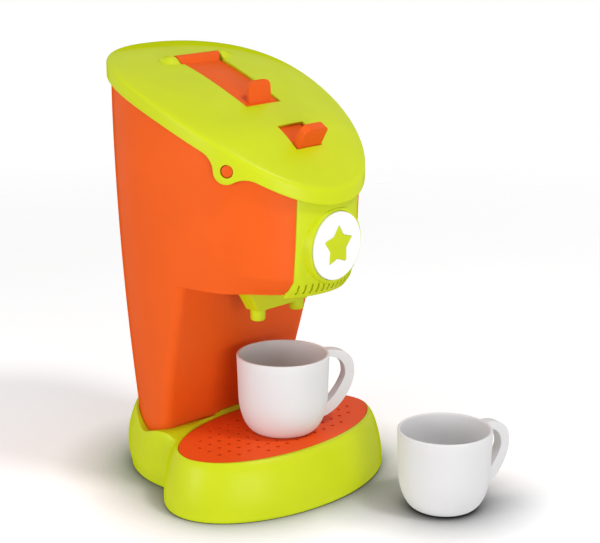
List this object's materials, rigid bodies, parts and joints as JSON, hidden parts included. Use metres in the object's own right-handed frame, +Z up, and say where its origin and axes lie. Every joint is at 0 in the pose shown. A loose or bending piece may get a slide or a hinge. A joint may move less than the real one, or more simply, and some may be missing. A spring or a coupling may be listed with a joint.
{
  "type": "toy coffee maker",
  "caption": "Toy capsule coffee maker with a leaning tub body, hinged lid with flap and slider, turning star knob, spouts, lift-out drip grid and loose cups.",
  "frame": {"origin": "on the table, in the underside of the pad where the base's two ribs cross", "axes": "+Z up, -Y towards the front with the drip grid and the knob, +X to the right as seen from the front"},
  "size_m": [0.1608, 0.2407, 0.2553],
  "materials": {
    "lime_shell": "satin gloss injection moulding",
    "orange_shell": "satin gloss injection moulding",
    "white_gloss": "smooth gloss injection moulding",
    "steel": "bright zinc plated"
  },
  "bodies": {
    "machine": {"base_shell": "lime_shell", "body_shell": "orange_shell", "base_screws": "steel", "front_panel": "lime_shell", "panel_screws": "steel", "spout_block": "lime_shell", "spout_screws": "steel", "hinge_pin": "steel"},
    "lid_body": {"lid": "lime_shell", "flap_pin": "steel", "slider_retainer": "orange_shell", "retainer_screws": "steel"},
    "flap": {"capsule_flap": "orange_shell"},
    "slider": {"eject_slider": "orange_shell"},
    "knob": {"knob_hub": "lime_shell", "knob_cap": "white_gloss", "knob_washer": "steel", "knob_screw": "steel"},
    "grid": {"drip_grid": "orange_shell"},
    "tray_cup": {"cup_on_tray": "white_gloss"},
    "side_cup": {"cup_beside": "white_gloss"}
  },
  "joints": [
    {"name": "lid_hinge", "type": "hinge", "parent": "machine", "child": "lid_body", "pos_m": [0, 0.0817, 0.24321], "axis": [-1, 0, 0], "range_deg": [0, 75]},
    {"name": "flap_hinge", "type": "hinge", "parent": "lid_body", "child": "flap", "pos_m": [0, 0.035, 0.24948], "axis": [-1, 0, 0], "range_deg": [0, 70]},
    {"name": "slider_slide", "type": "slide", "parent": "lid_body", "child": "slider", "axis": [0, 0.7951, 0.6065], "range_m": [0, 0.006]},
    {"name": "knob_turn", "type": "hinge", "parent": "machine", "child": "knob", "pos_m": [0, -0.0726, 0.153], "axis": [0, -0.9994, -0.0349], "continuous": true},
    {"name": "grid_lift", "type": "slide", "parent": "machine", "child": "grid", "axis": [0, 0, 1], "range_m": [0, 0.008]},
    {"name": "tray_cup_slide", "type": "slide", "parent": "grid", "child": "tray_cup", "axis": [0, -1, 0], "range_m": [0, 0.015]},
    {"name": "side_cup_slide", "type": "slide", "parent": "machine", "child": "side_cup", "axis": [0, -1, 0], "range_m": [0, 0.04]}
  ]
}
